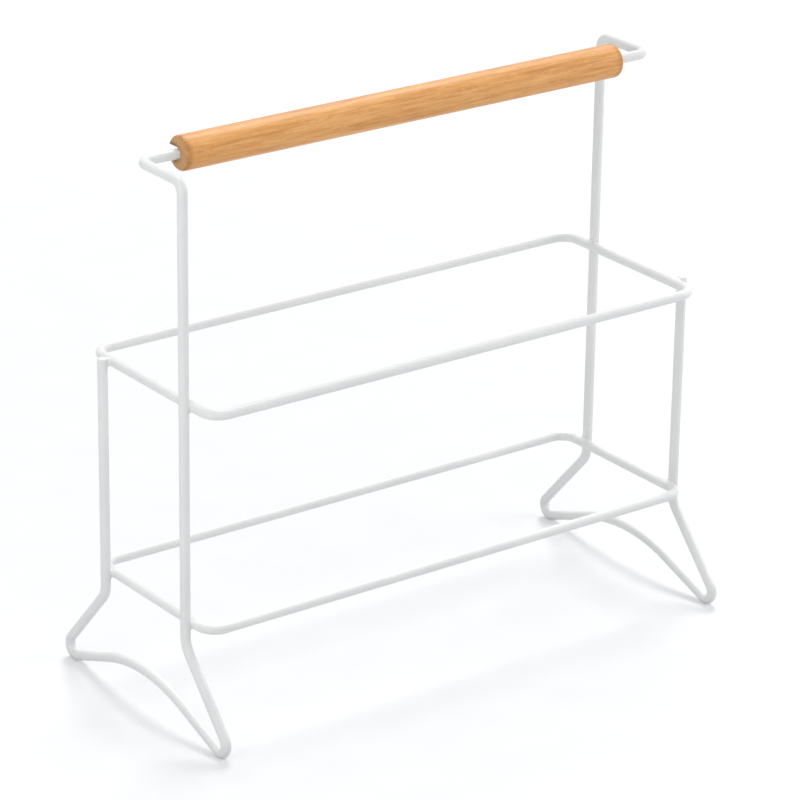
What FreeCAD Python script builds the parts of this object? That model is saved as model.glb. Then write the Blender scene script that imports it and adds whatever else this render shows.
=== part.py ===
import FreeCAD, Part
import math
import os

import Sketcher

# Two-tier plate rack of bent steel wire with a round wooden carrying grip.
# +X runs along the grip, +Y is the depth, +Z is up; the origin is on the floor under the middle.
# The rack is unchanged by a half turn about Z: each end has one tall upright and one short leg.

# Driving dimensions in millimetres and degrees: name, value, meaning.
SIZES = [
    ("wire_diameter", 5.0, "coated wire, the same throughout"),
    ("wire_end_radius", 0.8, "rounding of a cut wire end"),
    ("end_frame_spacing", 300.0, "between the planes of the two end frames"),
    ("leg_spacing", 70.0, "between the upright and the short leg of one end frame"),
    ("rod_height", 278.0, "floor to the centre of the rod in the grip"),
    ("top_bend_radius", 5.5, "bend from the upright into the arm"),
    ("rod_bend_radius", 5.0, "bend from the arm into the rod"),
    ("short_leg_margin", 0.2, "straight wire of a short leg between its weld and its rounded end"),
    ("flare_drop", 5.3, "lower shelf wire's centre down to where the legs start to flare"),
    ("flare_bend_radius", 12.0, "bend from the leg into its flare"),
    ("foot_spread", 138.0, "between the outermost wire centres of the two feet"),
    ("foot_bend_radius", 5.0, "tight turn of the wire at a foot"),
    ("arch_angle", 20.0, "rise of the wire from a foot towards the arch"),
    ("arch_radius", 95.0, "crown of the arch between the feet"),
    ("upper_shelf_height", 167.5, "floor to the centre of the upper shelf wire"),
    ("upper_shelf_margin", 7.0, "straight end rail of the upper shelf between a leg and the corner bend"),
    ("lower_shelf_height", 57.0, "floor to the centre of the lower shelf wire"),
    ("lower_shelf_margin", 3.5, "straight end rail of the lower shelf between a leg and the corner bend"),
    ("shelf_corner_radius", 9.0, "bend at the four corners of a shelf"),
    ("weld_gap", 0.2, "left between a leg and a shelf wire, and filled by the weld"),
    ("weld_diameter", 3.0, "spot weld that joins a leg to a shelf wire"),
    ("grip_diameter", 17.0, "round wooden grip"),
    ("grip_length", 259.0, "round wooden grip"),
    ("grip_edge_radius", 2.0, "rounding of the grip's two ends"),
    ("slot_width", 6.2, "slot in the grip, open at the back, that takes the rod"),
    ("slot_clearance", 0.1, "between the rod and the bottom of the slot"),
    ("slot_overrun", 1.0, "length by which the slot cutter passes the grip"),
]

doc = FreeCAD.newDocument("PlateRack")
sheet = doc.addObject("Spreadsheet::Sheet", "Sizes")
for row, (alias, value, meaning) in enumerate(SIZES, start=1):
    sheet.set(f"A{row}", alias)
    sheet.set(f"B{row}", str(value))
    sheet.set(f"C{row}", meaning)
    sheet.setAlias(f"B{row}", alias)
doc.recompute()

HALF_TURN = 180.0
START, END, CENTRE = 1, 2, 3
ORIGIN = (-1, START)

# Sizes that follow from the driving ones, as expressions on the sheet.
WIRE_RADIUS = "Sizes.wire_diameter / 2"
END_PLANE = "Sizes.end_frame_spacing / 2"
LEG_OFFSET = "Sizes.leg_spacing / 2"
SHORT_LEG_TOP = (
    "Sizes.upper_shelf_height + Sizes.weld_diameter / 2 + Sizes.short_leg_margin + Sizes.wire_end_radius"
)
FLARE_TOP = "Sizes.lower_shelf_height - Sizes.flare_drop"
FOOT_CENTRE_OFFSET = "Sizes.foot_spread / 2 - Sizes.foot_bend_radius"
FOOT_CENTRE_HEIGHT = "Sizes.foot_bend_radius + Sizes.wire_diameter / 2"
SHELF_HALF_LENGTH = "Sizes.end_frame_spacing / 2 - Sizes.wire_diameter - Sizes.weld_gap"
UPPER_SHELF_REACH = "Sizes.leg_spacing / 2 + Sizes.upper_shelf_margin + Sizes.shelf_corner_radius"
LOWER_SHELF_REACH = "Sizes.leg_spacing / 2 + Sizes.lower_shelf_margin + Sizes.shelf_corner_radius"
SLOT_RADIUS = "Sizes.slot_width / 2"
SLOT_CENTRE = "Sizes.slot_width / 2 - Sizes.wire_diameter / 2 - Sizes.slot_clearance"
SLOT_MOUTH = "Sizes.grip_diameter / 2 + Sizes.slot_overrun"


def value_of(expression):
    """Return the number that a sheet expression gives."""
    result = sheet.evalExpression(expression)
    return float(getattr(result, "Value", result))


def vector(x, y):
    return FreeCAD.Vector(x, y, 0)


def arc(centre, radius, first, last):
    """Return an arc that runs counter-clockwise between two angles in degrees."""
    circle = Part.Circle(vector(*centre), FreeCAD.Vector(0, 0, 1), radius)
    return Part.ArcOfCircle(circle, math.radians(first), math.radians(last))


def line(first, last):
    return Part.LineSegment(vector(*first), vector(*last))


def new_body(label):
    body = doc.addObject("PartDesign::Body", label)
    body.Label = label
    return body


def new_sketch(body, name, plane, offset="0"):
    """Attach a sketch to one of the body's own origin planes, moved along that plane's normal."""
    sketch = body.newObject("Sketcher::SketchObject", name)
    support = [feature for feature in body.Origin.OriginFeatures if feature.Role == plane][0]
    sketch.AttachmentSupport = [(support, "")]
    sketch.MapMode = "FlatFace"
    sketch.setExpression("AttachmentOffset.Base.z", offset)
    doc.recompute()
    return sketch


def size(sketch, name, kind, expression, *target):
    """Add a named dimension to a sketch and bind it to the sheet."""
    unit = "deg" if kind == "Angle" else "mm"
    start = FreeCAD.Units.Quantity(f"{value_of(expression)} {unit}")
    index = sketch.addConstraint(Sketcher.Constraint(kind, *target, start))
    sketch.renameConstraint(index, name)
    sketch.setExpression(f"Constraints.{name}", f"({expression}) * 1 {unit}")


def tangent_chain(sketch, links):
    """Join each edge to the next, smoothly: a link is (edge, its end, next edge, its end)."""
    for first, first_end, second, second_end in links:
        sketch.addConstraint(Sketcher.Constraint("Tangent", first, first_end, second, second_end))


def wire_profile(body, name, plane, offset, across, up):
    """Sketch the wire's round section with its centre at two signed distances from the sketch's axes."""
    sketch = new_sketch(body, name, plane, offset)
    centre = vector(value_of(across), value_of(up))
    circle = Part.Circle(centre, FreeCAD.Vector(0, 0, 1), value_of(WIRE_RADIUS))
    sketch.addGeometry(circle)
    size(sketch, "section_radius", "Radius", WIRE_RADIUS, 0)
    size(sketch, "section_across", "DistanceX", across, *ORIGIN, 0, CENTRE)
    size(sketch, "section_up", "DistanceY", up, *ORIGIN, 0, CENTRE)
    return sketch


def wire_pipe(body, name, profile, path):
    pipe = body.newObject("PartDesign::AdditivePipe", name)
    pipe.Profile = profile
    pipe.Spine = path
    doc.recompute()
    return pipe


def leg_path(body):
    """Sketch short leg, flare, foot, arch, foot, flare, upright and arm as one line of wire in the end plane."""
    leg = value_of(LEG_OFFSET)
    flare_top = value_of(FLARE_TOP)
    foot_radius = value_of("Sizes.foot_bend_radius")
    flare_radius = value_of("Sizes.flare_bend_radius")
    arch_radius = value_of("Sizes.arch_radius")
    top_radius = value_of("Sizes.top_bend_radius")
    rod_height = value_of("Sizes.rod_height")
    foot = (value_of(FOOT_CENTRE_OFFSET), value_of(FOOT_CENTRE_HEIGHT))
    rise_degrees = value_of("Sizes.arch_angle")
    rise = math.radians(rise_degrees)

    # The flare touches its bend on one side and the foot's turn on the other, which gives its lean.
    bend_to_foot = vector(foot[0] - leg - flare_radius, foot[1] - flare_top)
    flare = math.atan2(bend_to_foot.y, bend_to_foot.x)
    flare += math.acos(-(flare_radius + foot_radius) / bend_to_foot.Length)
    flare_degrees = math.degrees(flare)
    foot_outer = (foot[0] + foot_radius * math.cos(flare), foot[1] + foot_radius * math.sin(flare))
    foot_inner = (foot[0] - foot_radius * math.sin(rise), foot[1] - foot_radius * math.cos(rise))
    bend_top = (leg, flare_top)
    bend_low = (leg + flare_radius * (1 - math.cos(flare)), flare_top - flare_radius * math.sin(flare))
    apex = foot_inner[1] + foot_inner[0] * math.tan(rise)
    crown = (arch_radius * math.sin(rise), apex - arch_radius * math.tan(rise) * math.sin(rise))
    crown_centre = (0, crown[1] - arch_radius * math.cos(rise))

    def mirrored(point):
        return (-point[0], point[1])

    short_leg, far_bend, far_flare, far_foot, far_rise, crown_arc = range(6)
    near_rise, near_foot, near_flare, near_bend, upright, top_bend, arm = range(6, 13)
    sketch = new_sketch(body, "leg_path", "YZ_Plane", f"-({END_PLANE})")
    sketch.addGeometry([
        line((leg, value_of(SHORT_LEG_TOP)), bend_top),
        arc((leg + flare_radius, flare_top), flare_radius, HALF_TURN, HALF_TURN + flare_degrees),
        line(bend_low, foot_outer),
        arc(foot, foot_radius, -90 - rise_degrees, flare_degrees),
        line(foot_inner, crown),
        arc(crown_centre, arch_radius, 90 - rise_degrees, 90 + rise_degrees),
        line(mirrored(crown), mirrored(foot_inner)),
        arc(mirrored(foot), foot_radius, HALF_TURN - flare_degrees, 270 + rise_degrees),
        line(mirrored(foot_outer), mirrored(bend_low)),
        arc((-leg - flare_radius, flare_top), flare_radius, -flare_degrees, 0),
        line(mirrored(bend_top), (-leg, rod_height - top_radius)),
        arc((-leg + top_radius, rod_height - top_radius), top_radius, 90, HALF_TURN),
        line((-leg + top_radius, rod_height), (-value_of("Sizes.rod_bend_radius"), rod_height)),
    ])
    tangent_chain(sketch, [
        (short_leg, END, far_bend, START),
        (far_bend, END, far_flare, START),
        (far_flare, END, far_foot, END),
        (far_foot, START, far_rise, START),
        (far_rise, END, crown_arc, START),
        (crown_arc, END, near_rise, START),
        (near_rise, END, near_foot, END),
        (near_foot, START, near_flare, START),
        (near_flare, END, near_bend, START),
        (near_bend, END, upright, START),
        (upright, END, top_bend, END),
        (top_bend, START, arm, START),
    ])
    sketch.addConstraint(Sketcher.Constraint("Vertical", short_leg))
    sketch.addConstraint(Sketcher.Constraint("Vertical", upright))
    sketch.addConstraint(Sketcher.Constraint("Horizontal", arm))
    sketch.addConstraint(Sketcher.Constraint("Equal", far_bend, near_bend))
    sketch.addConstraint(Sketcher.Constraint("Equal", far_foot, near_foot))
    size(sketch, "short_leg_offset", "DistanceX", LEG_OFFSET, *ORIGIN, short_leg, START)
    size(sketch, "short_leg_top", "DistanceY", SHORT_LEG_TOP, *ORIGIN, short_leg, START)
    size(sketch, "upright_offset", "DistanceX", LEG_OFFSET, upright, START, *ORIGIN)
    size(sketch, "flare_bend", "Radius", "Sizes.flare_bend_radius", far_bend)
    size(sketch, "far_flare_top", "DistanceY", FLARE_TOP, *ORIGIN, far_bend, START)
    size(sketch, "near_flare_top", "DistanceY", FLARE_TOP, *ORIGIN, near_bend, END)
    size(sketch, "foot_bend", "Radius", "Sizes.foot_bend_radius", far_foot)
    size(sketch, "far_foot_offset", "DistanceX", FOOT_CENTRE_OFFSET, *ORIGIN, far_foot, CENTRE)
    size(sketch, "far_foot_height", "DistanceY", FOOT_CENTRE_HEIGHT, *ORIGIN, far_foot, CENTRE)
    size(sketch, "near_foot_offset", "DistanceX", FOOT_CENTRE_OFFSET, near_foot, CENTRE, *ORIGIN)
    size(sketch, "near_foot_height", "DistanceY", FOOT_CENTRE_HEIGHT, *ORIGIN, near_foot, CENTRE)
    size(sketch, "far_rise_angle", "Angle", "180 - Sizes.arch_angle", far_rise)
    size(sketch, "near_rise_angle", "Angle", "Sizes.arch_angle - 180", near_rise)
    size(sketch, "crown_radius", "Radius", "Sizes.arch_radius", crown_arc)
    size(sketch, "top_bend", "Radius", "Sizes.top_bend_radius", top_bend)
    size(sketch, "arm_height", "DistanceY", "Sizes.rod_height", *ORIGIN, arm, END)
    size(sketch, "arm_end", "DistanceX", "Sizes.rod_bend_radius", arm, END, *ORIGIN)
    doc.recompute()
    return sketch


def rod_path(body):
    """Sketch the bend from the arm and half of the rod, level at the rod's height."""
    end_plane = value_of(END_PLANE)
    radius = value_of("Sizes.rod_bend_radius")
    bend, rod = range(2)
    sketch = new_sketch(body, "rod_path", "XY_Plane", "Sizes.rod_height")
    sketch.addGeometry([
        arc((radius - end_plane, -radius), radius, 90, HALF_TURN),
        line((radius - end_plane, 0), (0, 0)),
    ])
    tangent_chain(sketch, [(bend, START, rod, START)])
    sketch.addConstraint(Sketcher.Constraint("Horizontal", rod))
    sketch.addConstraint(Sketcher.Constraint("Coincident", rod, END, *ORIGIN))
    size(sketch, "rod_bend", "Radius", "Sizes.rod_bend_radius", bend)
    size(sketch, "bend_across", "DistanceX", END_PLANE, bend, END, *ORIGIN)
    size(sketch, "bend_back", "DistanceY", "Sizes.rod_bend_radius", bend, END, *ORIGIN)
    doc.recompute()
    return sketch


def round_wire_end(body, name, height):
    """Round the cut end of the wire, whose rim is the one level circle at that height."""
    base = body.Tip
    near = value_of(WIRE_RADIUS)
    rims = [
        f"Edge{number}"
        for number, edge in enumerate(base.Shape.Edges, start=1)
        if isinstance(edge.Curve, Part.Circle) and abs(edge.CenterOfMass.z - height) < near
        and abs(edge.Curve.Axis.z) > abs(edge.Curve.Axis.x) + abs(edge.Curve.Axis.y)
    ]
    fillet = body.newObject("PartDesign::Fillet", name)
    fillet.Base = (base, rims)
    fillet.setExpression("Radius", "Sizes.wire_end_radius")
    doc.recompute()


def end_frame(label, turn):
    """Bend one end frame with its half of the rod; the other end is the same piece, turned about Z."""
    body = new_body(label)
    legs = leg_path(body)
    section = wire_profile(body, "leg_section", "XY_Plane", SHORT_LEG_TOP, f"-({END_PLANE})", LEG_OFFSET)
    wire_pipe(body, "leg_wire", section, legs)
    rod = rod_path(body)
    section = wire_profile(body, "rod_section", "XZ_Plane", "Sizes.rod_bend_radius", f"-({END_PLANE})",
                           "Sizes.rod_height")
    wire_pipe(body, "rod_wire", section, rod)
    round_wire_end(body, "short_leg_end", value_of(SHORT_LEG_TOP))
    body.Placement = FreeCAD.Placement(FreeCAD.Vector(), FreeCAD.Rotation(FreeCAD.Vector(0, 0, 1), turn))
    doc.recompute()
    return body


def shelf_loop(label, height, reach):
    """Bend one closed shelf loop: two long rails, two end rails and four round corners."""
    body = new_body(label)
    along = value_of(SHELF_HALF_LENGTH)
    across = value_of(reach)
    radius = value_of("Sizes.shelf_corner_radius")
    near_rail, right_corner, right_rail, far_right_corner = range(4)
    far_rail, far_left_corner, left_rail, left_corner = range(4, 8)
    sketch = new_sketch(body, "loop_path", "XY_Plane", height)
    sketch.addGeometry([
        line((radius - along, -across), (along - radius, -across)),
        arc((along - radius, radius - across), radius, -90, 0),
        line((along, radius - across), (along, across - radius)),
        arc((along - radius, across - radius), radius, 0, 90),
        line((along - radius, across), (radius - along, across)),
        arc((radius - along, across - radius), radius, 90, HALF_TURN),
        line((-along, across - radius), (-along, radius - across)),
        arc((radius - along, radius - across), radius, HALF_TURN, 270),
    ])
    ring = list(range(8))
    tangent_chain(sketch, [(edge, END, ring[edge - 7], START) for edge in ring])
    for rail in (near_rail, far_rail):
        sketch.addConstraint(Sketcher.Constraint("Horizontal", rail))
    for rail in (left_rail, right_rail):
        sketch.addConstraint(Sketcher.Constraint("Vertical", rail))
    for corner in (far_right_corner, far_left_corner, left_corner):
        sketch.addConstraint(Sketcher.Constraint("Equal", right_corner, corner))
    size(sketch, "corner_radius", "Radius", "Sizes.shelf_corner_radius", right_corner)
    size(sketch, "right_reach", "DistanceX", SHELF_HALF_LENGTH, *ORIGIN, right_rail, START)
    size(sketch, "left_reach", "DistanceX", SHELF_HALF_LENGTH, left_rail, START, *ORIGIN)
    size(sketch, "near_reach", "DistanceY", reach, near_rail, START, *ORIGIN)
    size(sketch, "far_reach", "DistanceY", reach, *ORIGIN, far_rail, START)
    doc.recompute()
    start = f"Sizes.shelf_corner_radius - ({SHELF_HALF_LENGTH})"
    section = wire_profile(body, "loop_section", "YZ_Plane", start, f"-({reach})", height)
    wire_pipe(body, "loop_wire", section, sketch)
    return body


def shelf_welds(label, height, shelf, frames):
    """Fill the small gap at the four crossings of legs and shelf, flush with the wires on both sides."""
    welds = []
    for frame, along in zip(frames, (-1, 1)):
        for across in (-1, 1):
            plug = doc.addObject("Part::Cylinder", f"{label}_plug")
            plug.setExpression("Radius", "Sizes.weld_diameter / 2")
            plug.setExpression("Height", "Sizes.wire_diameter + Sizes.weld_gap")
            plug.Placement.Rotation = FreeCAD.Rotation(FreeCAD.Vector(0, 1, 0), 90 * along)
            plug.setExpression("Placement.Base.x", f"{along} * ({SHELF_HALF_LENGTH})")
            plug.setExpression("Placement.Base.y", f"{across} * {LEG_OFFSET}")
            plug.setExpression("Placement.Base.z", height)
            clear_of_shelf = doc.addObject("Part::Cut", f"{label}_shelf_side")
            clear_of_shelf.Base = plug
            clear_of_shelf.Tool = shelf
            weld = doc.addObject("Part::Cut", f"{label}_leg_side")
            weld.Base = clear_of_shelf
            weld.Tool = frame
            welds.append(weld)
    group = doc.addObject("Part::Compound", label)
    group.Label = label
    group.Links = welds
    doc.recompute()
    return group


def grip(label):
    """Turn the wooden grip with rounded ends, and mill the slot that takes the rod from the back."""
    body = new_body(label)
    round_sketch = new_sketch(body, "grip_section", "YZ_Plane")
    centre = vector(0, value_of("Sizes.rod_height"))
    round_sketch.addGeometry(Part.Circle(centre, FreeCAD.Vector(0, 0, 1), value_of("Sizes.grip_diameter / 2")))
    size(round_sketch, "grip_radius", "Radius", "Sizes.grip_diameter / 2", 0)
    size(round_sketch, "grip_height", "DistanceY", "Sizes.rod_height", *ORIGIN, 0, CENTRE)
    round_sketch.addConstraint(Sketcher.Constraint("PointOnObject", 0, CENTRE, -2))
    pad = body.newObject("PartDesign::Pad", "grip_blank")
    pad.Profile = round_sketch
    pad.Midplane = True
    pad.setExpression("Length", "Sizes.grip_length")
    doc.recompute()
    rims = [
        f"Edge{number}"
        for number, edge in enumerate(pad.Shape.Edges, start=1)
        if isinstance(edge.Curve, Part.Circle)
    ]
    fillet = body.newObject("PartDesign::Fillet", "grip_ends")
    fillet.Base = (pad, rims)
    fillet.setExpression("Radius", "Sizes.grip_edge_radius")
    doc.recompute()

    radius = value_of(SLOT_RADIUS)
    middle = value_of(SLOT_CENTRE)
    mouth = value_of(SLOT_MOUTH)
    height = centre.y
    bottom, lower_side, mouth_side, upper_side = range(4)
    slot_sketch = new_sketch(body, "slot_section", "YZ_Plane")
    slot_sketch.addGeometry([
        arc((middle, height), radius, 90, 270),
        line((middle, height - radius), (mouth, height - radius)),
        line((mouth, height - radius), (mouth, height + radius)),
        line((mouth, height + radius), (middle, height + radius)),
    ])
    tangent_chain(slot_sketch, [(bottom, END, lower_side, START), (upper_side, END, bottom, START)])
    slot_sketch.addConstraint(Sketcher.Constraint("Coincident", lower_side, END, mouth_side, START))
    slot_sketch.addConstraint(Sketcher.Constraint("Coincident", mouth_side, END, upper_side, START))
    slot_sketch.addConstraint(Sketcher.Constraint("Horizontal", lower_side))
    slot_sketch.addConstraint(Sketcher.Constraint("Horizontal", upper_side))
    slot_sketch.addConstraint(Sketcher.Constraint("Vertical", mouth_side))
    size(slot_sketch, "slot_middle", "DistanceX", SLOT_CENTRE, *ORIGIN, bottom, CENTRE)
    size(slot_sketch, "slot_radius", "Radius", SLOT_RADIUS, bottom)
    size(slot_sketch, "slot_height", "DistanceY", "Sizes.rod_height", *ORIGIN, bottom, CENTRE)
    size(slot_sketch, "slot_mouth", "DistanceX", SLOT_MOUTH, *ORIGIN, mouth_side, START)
    pocket = body.newObject("PartDesign::Pocket", "rod_slot")
    pocket.Profile = slot_sketch
    pocket.Midplane = True
    pocket.setExpression("Length", "Sizes.grip_length + 2 * Sizes.slot_overrun")
    doc.recompute()
    if pocket.Shape.Volume >= fillet.Shape.Volume:
        raise RuntimeError("the slot cut nothing")
    return body


left = end_frame("left_end_frame", 0)
right = end_frame("right_end_frame", HALF_TURN)
upper = shelf_loop("upper_shelf_loop", "Sizes.upper_shelf_height", UPPER_SHELF_REACH)
lower = shelf_loop("lower_shelf_loop", "Sizes.lower_shelf_height", LOWER_SHELF_REACH)
pieces = [
    left,
    right,
    upper,
    lower,
    shelf_welds("upper_shelf_welds", "Sizes.upper_shelf_height", upper, (left, right)),
    shelf_welds("lower_shelf_welds", "Sizes.lower_shelf_height", lower, (left, right)),
    grip("handle_grip"),
]
doc.recompute()

for item in doc.Objects:
    if "Invalid" in item.State or "Error" in item.State:
        raise RuntimeError(f"{item.Label} failed: {item.State}")
for piece in pieces:
    if piece.Shape.isNull() or not piece.Shape.isValid():
        raise RuntimeError(f"{piece.Label} has no valid shape")

os.makedirs("parts", exist_ok=True)
for piece in pieces:
    piece.Shape.exportStep(f"parts/{piece.Label}.step")
    box = piece.Shape.BoundBox
    print(f"{piece.Label}: {len(piece.Shape.Solids)} solids, {piece.Shape.Volume:.1f} mm3, "
          f"x {box.XMin:.2f} {box.XMax:.2f}, y {box.YMin:.2f} {box.YMax:.2f}, z {box.ZMin:.2f} {box.ZMax:.2f}")
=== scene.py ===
import math

import bmesh
import bpy
from mathutils import Matrix, Vector


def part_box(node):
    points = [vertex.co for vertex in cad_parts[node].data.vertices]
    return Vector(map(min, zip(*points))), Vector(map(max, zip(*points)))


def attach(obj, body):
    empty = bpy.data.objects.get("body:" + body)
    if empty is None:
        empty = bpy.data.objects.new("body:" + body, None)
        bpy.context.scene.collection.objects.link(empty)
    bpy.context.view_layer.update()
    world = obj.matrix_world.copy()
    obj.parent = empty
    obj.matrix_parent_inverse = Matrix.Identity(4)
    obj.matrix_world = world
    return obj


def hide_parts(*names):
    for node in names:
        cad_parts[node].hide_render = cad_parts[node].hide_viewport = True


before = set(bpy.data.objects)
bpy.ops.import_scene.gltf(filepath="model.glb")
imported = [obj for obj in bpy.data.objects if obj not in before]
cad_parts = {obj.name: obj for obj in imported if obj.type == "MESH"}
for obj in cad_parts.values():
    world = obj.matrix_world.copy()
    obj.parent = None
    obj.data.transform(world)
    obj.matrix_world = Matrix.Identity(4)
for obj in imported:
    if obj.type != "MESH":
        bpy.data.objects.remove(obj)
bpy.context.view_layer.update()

# Lengths are in metres, angles in degrees, and colours are linear.
SHELVES = ("upper", "lower")
GRIP_LOW, GRIP_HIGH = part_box("handle_grip")
GRIP_HEIGHT = (GRIP_LOW.z + GRIP_HIGH.z) / 2
GRIP_END = GRIP_HIGH.x

# The grip's slot, open at the back: radius of its round bottom, and where that is centred behind the axis.
SLOT_RADIUS = 0.0031
SLOT_CENTRE = 0.0005

# Weld beads: sizes in wire radii, then how finely they are meshed and smoothed.
BEAD_RADIUS = 0.95
BEAD_SQUEEZE = 0.75
STUB_RADIUS = 0.985
RAIL_STUB = 2.4
LEG_STUB = 2.0
LEG_STUB_DROP = 0.5
STUB_SEGMENTS = 32
BEAD_SEGMENTS = 24
BEAD_RINGS = 16
BEAD_VOXEL = 0.0003
BEAD_SMOOTHING = 6
BEAD_SMOOTHING_FACTOR = 0.5

# Powder coat: tones, noise cells to a metre, strength and depth of its bumps, and range of roughness.
COAT_PALE = (0.845, 0.848, 0.838)
COAT_CLOUD = (0.800, 0.806, 0.802)
COAT_FLOW = (0.770, 0.778, 0.780)
COAT_RUBBED = (0.55, 0.55, 0.54)
PEEL_CELLS = 1100
FLOW_CELLS = 240
CLOUD_CELLS = 38
SCUFF_CELLS = 520
PEEL_BUMP = (0.55, 0.0001)
FLOW_BUMP = (0.32, 0.0003)
COAT_ROUGHNESS = (0.30, 0.44)

# The coat's wear: the height over which it fades, and how far it changes colour and roughness.
RUBBED_HEIGHT = (0.0005, 0.0032)
RUBBED_COLOUR_SHARE = 0.6
RUBBED_ROUGHNESS = 0.18

# Oiled wood: tones.
WOOD_TONES = [
    (0.12, (0.890, 0.478, 0.178)),
    (0.45, (0.800, 0.385, 0.124)),
    (0.70, (0.700, 0.312, 0.088)),
    (0.95, (0.540, 0.222, 0.056)),
]
END_GRAIN_TONES = [
    (0.1, (0.660, 0.370, 0.155)),
    (0.9, (0.400, 0.190, 0.064)),
]
WOOD_FLECK = (0.930, 0.560, 0.250)
WOOD_STREAK = (0.560, 0.240, 0.064)
WOOD_PORE = (0.400, 0.160, 0.045)
WOOD_RIM = (0.430, 0.185, 0.056)
# Painted shade for the inside of the grip's slot, not a colour of the wood.
WOOD_SLOT_SHADE = (0.200, 0.090, 0.028)

# Growth rings. The tree's centre line runs beside the grip, slanted: its offset and slope across and up.
PITH_ACROSS, PITH_ACROSS_SLOPE = 0.021, 0.022
PITH_UP, PITH_UP_SLOPE = -0.017, -0.012
PITH_WANDER = 0.0034
RINGS_PER_METRE = 430.0
RING_POWER = 2.6

# Long grain: noise cells to a metre along the grip and across it.
WANDER_CELLS = (9, 60)
BAND_CELLS = (13, 330)
DASH_CELLS = (62, 760)
FIBRE_CELLS = (40, 2400)
FLECK_CELLS = (150, 1000)
STREAK_CELLS = (24, 560)
PORE_CELLS = (240, 2300)

# How much the rings, bands, dashes and fibre add to the tone.
RING_SHARE = 0.16
BAND_SHARE = 0.40
DASH_SHARE = 0.34
FIBRE_SHARE = 0.16

# The grip's end grain, dark rims, painted shade in the slot, and surface.
VESSEL_CELLS = 2600
RIM_WIDTH = (0.0042, 0.0012)
# How far the painted slot shade reaches past the slot's round bottom.
SLOT_SHADE_DEPTH = (0.0006, 0.0022)
WOOD_ROUGHNESS = (0.38, 0.48)
END_GRAIN_ROUGHNESS = 0.2
WOOD_BUMP = (0.35, 0.00012)
WOOD_SPECULAR = 0.38

# Studio.
FLOOR_HALF = 6.0
FLOOR_TONES = ((0.63, 0.64, 0.65), (0.65, 0.66, 0.67))
FLOOR_CELLS = 30
FLOOR_LIFT_SPAN = (0.15, 1.1)
FLOOR_LIFT = (0.27, 0.43)
SKY_COLOUR = (0.97, 0.985, 1, 1)
SKY_STRENGTH = 0.48
WHITE = (1, 1, 1, 1)
SUN_DIRECTION = (-0.40, -0.40, -0.825)
SUN_STRENGTH = 1.62
SUN_SPREAD = 24.0
LAMP_AIM = Vector((0, 0, 0.15))

# Softboxes: name, place, width and height, power in watts.
SOFTBOXES = [
    ("left_softbox", (-0.80, -0.22, 0.50), (0.5, 0.7), 1.7),
    ("right_softbox", (0.80, -0.38, 0.45), (0.5, 0.7), 2.5),
    ("front_softbox", (-0.45, -0.70, 1.05), (0.9, 0.9), 2.1),
]

# Camera at the photograph's viewing angle, for a square picture; lens and sensor in millimetres.
CAMERA_PLACE = (-1.0618, -1.4241, 0.8539)
CAMERA_AZIMUTH = -36.715
CAMERA_ELEVATION = 22.293
CAMERA_ROLL = 0.873
CAMERA_LENS = 175.28
SENSOR_WIDTH = 36.0


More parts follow.
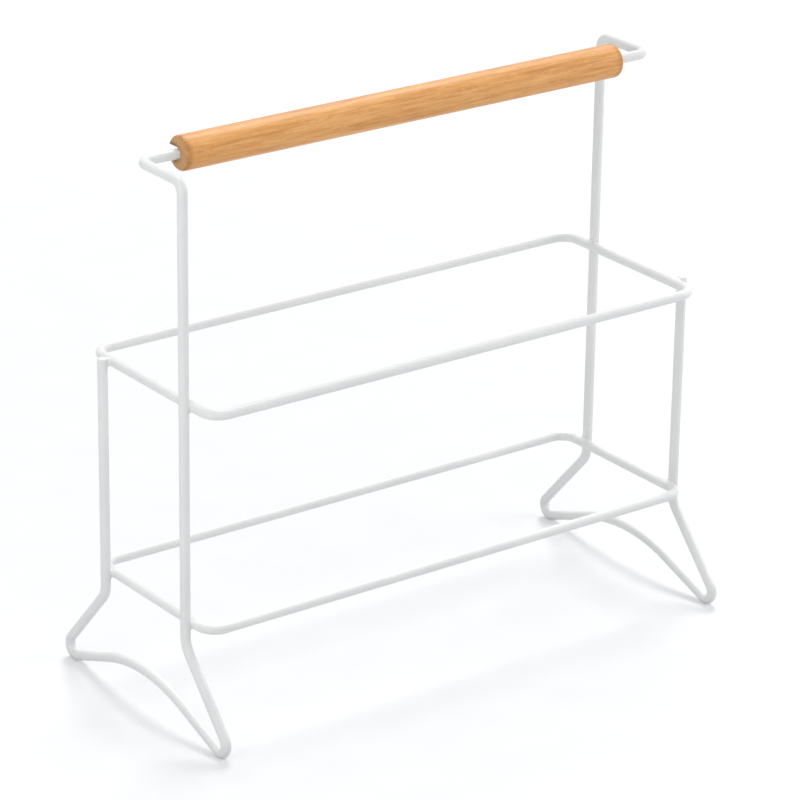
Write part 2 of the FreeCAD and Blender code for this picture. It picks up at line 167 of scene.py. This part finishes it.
class Nodes:
    """Short ways to add and link the shader nodes of one material or world."""

    def __init__(self, owner, output):
        owner.use_nodes = True
        self.owner = owner
        self.tree = owner.node_tree
        self.tree.nodes.clear()
        self.surface = self.add(output).inputs["Surface"]

    def add(self, kind, **settings):
        node = self.tree.nodes.new("ShaderNode" + kind)
        for key, value in settings.items():
            setattr(node, key, value)
        return node

    def link(self, source, target):
        self.tree.links.new(source, target)

    def put(self, socket, value):
        """Link a socket to another, or give it a value; None leaves it as it is."""
        if isinstance(value, bpy.types.NodeSocket):
            self.link(value, socket)
        elif value is not None:
            socket.default_value = value

    def place(self):
        return self.add("TexCoord").outputs["Object"]

    def parts(self, vector):
        node = self.add("SeparateXYZ")
        self.link(vector, node.inputs["Vector"])
        return node.outputs["X"], node.outputs["Y"], node.outputs["Z"]

    def mapping(self, vector, scale, shift=(0, 0, 0)):
        node = self.add("Mapping")
        self.link(vector, node.inputs["Vector"])
        node.inputs["Scale"].default_value = scale
        node.inputs["Location"].default_value = shift
        return node.outputs["Vector"]

    def noise(self, vector, scale, detail=2.0, roughness=0.5, distortion=0.0):
        node = self.add("TexNoise")
        self.link(vector, node.inputs["Vector"])
        node.inputs["Scale"].default_value = scale
        node.inputs["Detail"].default_value = detail
        node.inputs["Roughness"].default_value = roughness
        node.inputs["Distortion"].default_value = distortion
        return node.outputs["Fac"]

    def math(self, operation, first, second=None, third=None):
        node = self.add("Math", operation=operation)
        for socket, value in zip(node.inputs, (first, second, third)):
            self.put(socket, value)
        return node.outputs[0]

    def distance(self, first, second):
        squares = self.math("ADD", self.math("MULTIPLY", first, first), self.math("MULTIPLY", second, second))
        return self.math("SQRT", squares)

    def span(self, value, low, high, to_low=0.0, to_high=1.0):
        """Turn values from low to high into values from to_low to to_high, and stop there."""
        node = self.add("MapRange", clamp=True)
        self.put(node.inputs["Value"], value)
        node.inputs["From Min"].default_value = low
        node.inputs["From Max"].default_value = high
        node.inputs["To Min"].default_value = to_low
        node.inputs["To Max"].default_value = to_high
        return node.outputs["Result"]

    def ramp(self, value, stops):
        node = self.add("ValToRGB")
        self.link(value, node.inputs["Fac"])
        elements = node.color_ramp.elements
        while len(elements) < len(stops):
            elements.new(0.5)
        for element, (place, colour) in zip(elements, stops):
            element.position = place
            element.color = (*colour, 1)
        return node.outputs["Color"]

    def mix(self, share, first, second):
        node = self.add("Mix", data_type="RGBA")
        self.put(node.inputs["Factor"], share)
        self.put(node.inputs["A"], (*first, 1) if isinstance(first, tuple) else first)
        self.put(node.inputs["B"], (*second, 1) if isinstance(second, tuple) else second)
        return node.outputs["Result"]

    def bump(self, height, strength, distance, normal=None):
        node = self.add("Bump")
        self.link(height, node.inputs["Height"])
        node.inputs["Strength"].default_value = strength
        node.inputs["Distance"].default_value = distance
        self.put(node.inputs["Normal"], normal)
        return node.outputs["Normal"]

    def seen(self):
        """One for rays that show the background: from the camera, or by way of gloss or glass."""
        rays = self.add("LightPath")
        shown = self.math("MAXIMUM", rays.outputs["Is Camera Ray"], rays.outputs["Is Glossy Ray"])
        return self.math("MAXIMUM", shown, rays.outputs["Is Transmission Ray"])

    def finish(self, colour, roughness, normal, **constants):
        shader = self.add("BsdfPrincipled")
        self.link(colour, shader.inputs["Base Color"])
        self.link(roughness, shader.inputs["Roughness"])
        self.link(normal, shader.inputs["Normal"])
        for key, value in constants.items():
            shader.inputs[key].default_value = value
        self.link(shader.outputs["BSDF"], self.surface)
        return self.owner


def new_material(name):
    return Nodes(bpy.data.materials.new(name), "OutputMaterial")


def add_to_scene(name, data):
    item = bpy.data.objects.new(name, data)
    bpy.context.scene.collection.objects.link(item)
    return item


def powder_coat():
    """Satin white powder coat: fine orange peel, faint flow marks, and feet rubbed by the table."""
    n = new_material("white_powder_coat")
    place = n.place()
    peel = n.noise(place, PEEL_CELLS, roughness=0.55)
    flow = n.noise(place, FLOW_CELLS, detail=3.0, roughness=0.6)
    cloud = n.noise(place, CLOUD_CELLS)
    scuff = n.noise(n.mapping(place, (1, 1, 0.35)), SCUFF_CELLS, detail=4.0, roughness=0.7)
    height = n.parts(place)[2]
    rubbed = n.math("MULTIPLY", n.span(height, *RUBBED_HEIGHT, 1.0, 0.0), n.span(scuff, 0.42, 0.62))
    colour = n.mix(n.span(cloud, 0.3, 0.7), COAT_CLOUD, COAT_PALE)
    colour = n.mix(n.span(flow, 0.52, 0.78, 0.0, 0.35), colour, COAT_FLOW)
    colour = n.mix(n.math("MULTIPLY", rubbed, RUBBED_COLOUR_SHARE), colour, COAT_RUBBED)
    roughness = n.math("MULTIPLY_ADD", rubbed, RUBBED_ROUGHNESS, n.span(flow, 0.25, 0.75, *COAT_ROUGHNESS))
    normal = n.bump(flow, *FLOW_BUMP, n.bump(peel, *PEEL_BUMP))
    return n.finish(colour, roughness, normal)


def oiled_wood():
    """Light oiled wood: rings, streaks, flecks and pores along the grip, end grain, dark rims, and painted
    shade in the slot.
    """
    n = new_material("oiled_light_wood")
    place = n.place()
    along, across, height = n.parts(place)
    up = n.math("SUBTRACT", height, GRIP_HEIGHT)

    def grain(length_cells, cells, shift=(0, 0, 0), **settings):
        """Noise drawn out along the grip, with that many cells to a metre along it and across it."""
        return n.noise(n.mapping(place, (length_cells, cells, cells), shift), 1.0, **settings)

    # Growth rings round the tree's centre line, each darker towards its outer side.
    side = n.math("ADD", n.math("MULTIPLY_ADD", along, PITH_ACROSS_SLOPE, PITH_ACROSS), across)
    rise = n.math("ADD", n.math("MULTIPLY_ADD", along, PITH_UP_SLOPE, PITH_UP), up)
    wander = grain(*WANDER_CELLS, detail=3.0, roughness=0.55)
    pith = n.math("MULTIPLY_ADD", wander, PITH_WANDER, n.distance(side, rise))
    turns = n.math("FRACT", n.math("MULTIPLY", pith, RINGS_PER_METRE))
    late = n.math("MULTIPLY", n.math("POWER", turns, RING_POWER), n.span(turns, 0.94, 1.0, 1.0, 0.0))

    # Long grain: broad bands, short dashes and fine fibre set the tone.
    band = grain(*BAND_CELLS, detail=3.0, roughness=0.55, distortion=0.3)
    dash = grain(*DASH_CELLS, shift=(1.7, 4.2, 8.8), detail=3.0, roughness=0.6)
    fibre = grain(*FIBRE_CELLS, roughness=0.6)
    tone = n.math("MULTIPLY", late, RING_SHARE)
    tone = n.math("MULTIPLY_ADD", n.span(band, 0.32, 0.68), BAND_SHARE, tone)
    tone = n.math("MULTIPLY_ADD", n.span(dash, 0.34, 0.68), DASH_SHARE, tone)
    tone = n.math("MULTIPLY_ADD", n.span(fibre, 0.3, 0.7), FIBRE_SHARE, tone)
    colour = n.ramp(tone, WOOD_TONES)
    fleck = grain(*FLECK_CELLS, shift=(9.3, 2.6, 5.1))
    colour = n.mix(n.span(fleck, 0.60, 0.70, 0.0, 0.40), colour, WOOD_FLECK)
    streak = grain(*STREAK_CELLS, shift=(6.4, 1.9, 3.3), detail=3.0)
    colour = n.mix(n.span(streak, 0.57, 0.67, 0.0, 0.50), colour, WOOD_STREAK)
    pores = n.span(grain(*PORE_CELLS, shift=(3.1, 7.7, 1.3), detail=1.0), 0.62, 0.71)
    pores = n.math("MULTIPLY", pores, n.span(turns, 0.05, 0.5, 1.0, 0.4))
    colour = n.mix(n.math("MULTIPLY", pores, 0.55), colour, WOOD_PORE)

    # Dark rims and end grain.
    facing = n.parts(n.add("NewGeometry").outputs["True Normal"])[0]
    end = n.span(n.math("ABSOLUTE", facing), 0.70, 0.97)
    vessels = n.noise(place, VESSEL_CELLS, roughness=0.7)
    end_tone = n.math("MULTIPLY_ADD", late, 0.5, n.span(vessels, 0.35, 0.7, 0.0, 0.5))
    rim = n.span(n.math("ABSOLUTE", along), *(GRIP_END - width for width in RIM_WIDTH))
    rim = n.math("MULTIPLY", rim, n.span(dash, 0.35, 0.60, 0.45, 0.85))
    colour = n.mix(rim, colour, WOOD_RIM)
    colour = n.mix(end, colour, n.ramp(end_tone, END_GRAIN_TONES))

    # Painted shade on the slot's walls and the lips round it, darker towards the slot's open back and broken
    # up by noise.
    inside = n.math("MINIMUM", n.math("SUBTRACT", across, SLOT_CENTRE), 0.0)
    wall = n.distance(inside, up)
    slot_shade = n.span(wall, *(SLOT_RADIUS + depth for depth in SLOT_SHADE_DEPTH), 1.0, 0.0)
    slot_shade = n.math("MULTIPLY", slot_shade, n.span(across, -0.0012, 0.0020, 0.25, 1.0))
    slot_shade = n.math("MULTIPLY", slot_shade, n.span(vessels, 0.3, 0.6, 0.65, 0.90))
    colour = n.mix(slot_shade, colour, WOOD_SLOT_SHADE)

    roughness = n.math("MULTIPLY_ADD", end, END_GRAIN_ROUGHNESS, n.span(fibre, 0.3, 0.7, *WOOD_ROUGHNESS))
    relief = n.math("SUBTRACT", n.math("MULTIPLY", fibre, 0.5), pores)
    relief = n.math("MULTIPLY_ADD", late, 0.2, relief)
    normal = n.bump(relief, *WOOD_BUMP)
    return n.finish(colour, roughness, normal, **{"Specular IOR Level": WOOD_SPECULAR})


def floor_finish():
    """Pale matt floor that reads as white to the camera and still takes the rack's shadow."""
    n = new_material("studio_floor")
    place = n.place()
    diffuse = n.add("BsdfDiffuse")
    tone = n.mix(n.span(n.noise(place, FLOOR_CELLS, detail=3.0), 0.3, 0.7), *FLOOR_TONES)
    n.link(tone, diffuse.inputs["Color"])
    away = n.add("VectorMath", operation="LENGTH")
    n.link(place, away.inputs[0])
    level = n.span(away.outputs["Value"], *FLOOR_LIFT_SPAN, *FLOOR_LIFT)
    lift = n.add("Emission")
    lift.inputs["Color"].default_value = WHITE
    n.link(n.math("MULTIPLY", n.seen(), level), lift.inputs["Strength"])
    both = n.add("AddShader")
    n.link(diffuse.outputs["BSDF"], both.inputs[0])
    n.link(lift.outputs["Emission"], both.inputs[1])
    n.link(both.outputs["Shader"], n.surface)
    return n.owner


def bead_blank(wire_radius, leg_plane, rail_plane, leg_offset, height):
    """Stubs of leg and rail, just inside the wires, with a bead between them, at a shelf's four crossings."""
    mesh = bmesh.new()
    radius = STUB_RADIUS * wire_radius

    def stub(length, place):
        bmesh.ops.create_cone(mesh, cap_ends=True, segments=STUB_SEGMENTS, radius1=radius, radius2=radius,
                              depth=length * wire_radius, matrix=place)

    lying = Matrix.Rotation(math.pi / 2, 4, "X")
    squeezed = Matrix.Diagonal((BEAD_SQUEEZE, 1, 1, 1))
    for along in (-1, 1):
        for across in (-leg_offset, leg_offset):
            leg = Matrix.Translation((along * leg_plane, across, height - LEG_STUB_DROP * wire_radius))
            rail = Matrix.Translation((along * rail_plane, across, height))
            bead = Matrix.Translation((along * (leg_plane + rail_plane) / 2, across, height))
            stub(LEG_STUB, leg)
            stub(RAIL_STUB, rail @ lying)
            bmesh.ops.create_uvsphere(mesh, u_segments=BEAD_SEGMENTS, v_segments=BEAD_RINGS,
                                      radius=BEAD_RADIUS * wire_radius, matrix=bead @ squeezed)
    blank = bpy.data.meshes.new("bead_blank")
    mesh.to_mesh(blank)
    mesh.free()
    return blank


def weld_beads(shelf, coat):
    """Show one shelf's welds as coated beads that flow into the legs and the shelf's end rails."""
    rail_low, rail_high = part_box(f"{shelf}_shelf_loop")
    weld_low, weld_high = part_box(f"{shelf}_shelf_welds")
    wire_radius = (rail_high.z - rail_low.z) / 2
    leg_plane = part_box("right_end_frame")[1].x - wire_radius
    rail_plane = rail_high.x - wire_radius
    leg_offset = weld_high.y - (weld_high.z - weld_low.z) / 2
    height = (rail_low.z + rail_high.z) / 2

    name = f"{shelf}_shelf_weld_beads"
    blank_mesh = bead_blank(wire_radius, leg_plane, rail_plane, leg_offset, height)
    blank = add_to_scene("bead_blank", blank_mesh)
    union = blank.modifiers.new("union", "REMESH")
    union.mode = "VOXEL"
    union.voxel_size = BEAD_VOXEL
    flow = blank.modifiers.new("flow", "SMOOTH")
    flow.factor = BEAD_SMOOTHING_FACTOR
    flow.iterations = BEAD_SMOOTHING
    bpy.context.view_layer.update()
    mesh = bpy.data.meshes.new_from_object(blank.evaluated_get(bpy.context.evaluated_depsgraph_get()))
    bpy.data.objects.remove(blank)
    bpy.data.meshes.remove(blank_mesh)
    mesh.name = name
    mesh.materials.clear()
    mesh.materials.append(coat)
    mesh.shade_smooth()
    beads = add_to_scene(name, mesh)
    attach(beads, "root")
    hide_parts(f"{shelf}_shelf_welds")


def studio_floor():
    ground = bpy.data.meshes.new("studio_floor")
    corners = [(x * FLOOR_HALF, y * FLOOR_HALF, 0) for x, y in ((-1, -1), (1, -1), (1, 1), (-1, 1))]
    ground.from_pydata(corners, [], [(0, 1, 2, 3)])
    ground.materials.append(floor_finish())
    add_to_scene("studio_floor", ground)


def studio_world():
    """Pale sky light, with plain white where the background shows."""
    n = Nodes(bpy.data.worlds.new("studio"), "OutputWorld")
    choice = n.add("MixShader")
    n.link(n.seen(), choice.inputs[0])
    for socket, colour, strength in ((1, SKY_COLOUR, SKY_STRENGTH), (2, WHITE, 1.0)):
        light = n.add("Background")
        light.inputs["Color"].default_value = colour
        light.inputs["Strength"].default_value = strength
        n.link(light.outputs["Background"], choice.inputs[socket])
    n.link(choice.outputs["Shader"], n.surface)
    bpy.context.scene.world = n.owner


def aim(lamp, direction):
    lamp.rotation_euler = Vector(direction).to_track_quat("-Z", "Y").to_euler()


def studio_lamps():
    sun = bpy.data.lights.new("key_light", "SUN")
    sun.energy = SUN_STRENGTH
    sun.angle = math.radians(SUN_SPREAD)
    aim(add_to_scene("key_light", sun), SUN_DIRECTION)
    for name, place, (width, height), power in SOFTBOXES:
        softbox = bpy.data.lights.new(name, "AREA")
        softbox.shape = "RECTANGLE"
        softbox.size = width
        softbox.size_y = height
        softbox.energy = power
        lamp = add_to_scene(name, softbox)
        lamp.location = place
        aim(lamp, LAMP_AIM - Vector(place))


def studio_camera():
    azimuth, elevation, roll = (math.radians(a) for a in (CAMERA_AZIMUTH, CAMERA_ELEVATION, CAMERA_ROLL))
    level = math.cos(elevation)
    back = Vector((math.sin(azimuth) * level, -math.cos(azimuth) * level, math.sin(elevation)))
    right = Vector((0, 0, 1)).cross(back).normalized()
    up = back.cross(right)
    turned_right = right * math.cos(roll) + up * math.sin(roll)
    turned_up = up * math.cos(roll) - right * math.sin(roll)
    lens = bpy.data.cameras.new("camera")
    lens.sensor_fit = "HORIZONTAL"
    lens.sensor_width = SENSOR_WIDTH
    lens.lens = CAMERA_LENS
    camera = add_to_scene("camera", lens)
    axes = Matrix((turned_right, turned_up, back)).transposed().to_4x4()
    camera.matrix_world = Matrix.Translation(CAMERA_PLACE) @ axes
    bpy.context.scene.camera = camera


coat = powder_coat()
wood = oiled_wood()
for name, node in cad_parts.items():
    node.data.materials[0] = wood if name == "handle_grip" else coat
for shelf in SHELVES:
    weld_beads(shelf, coat)

studio_floor()
studio_world()
studio_lamps()
studio_camera()
bpy.context.scene.view_settings.view_transform = "Standard"
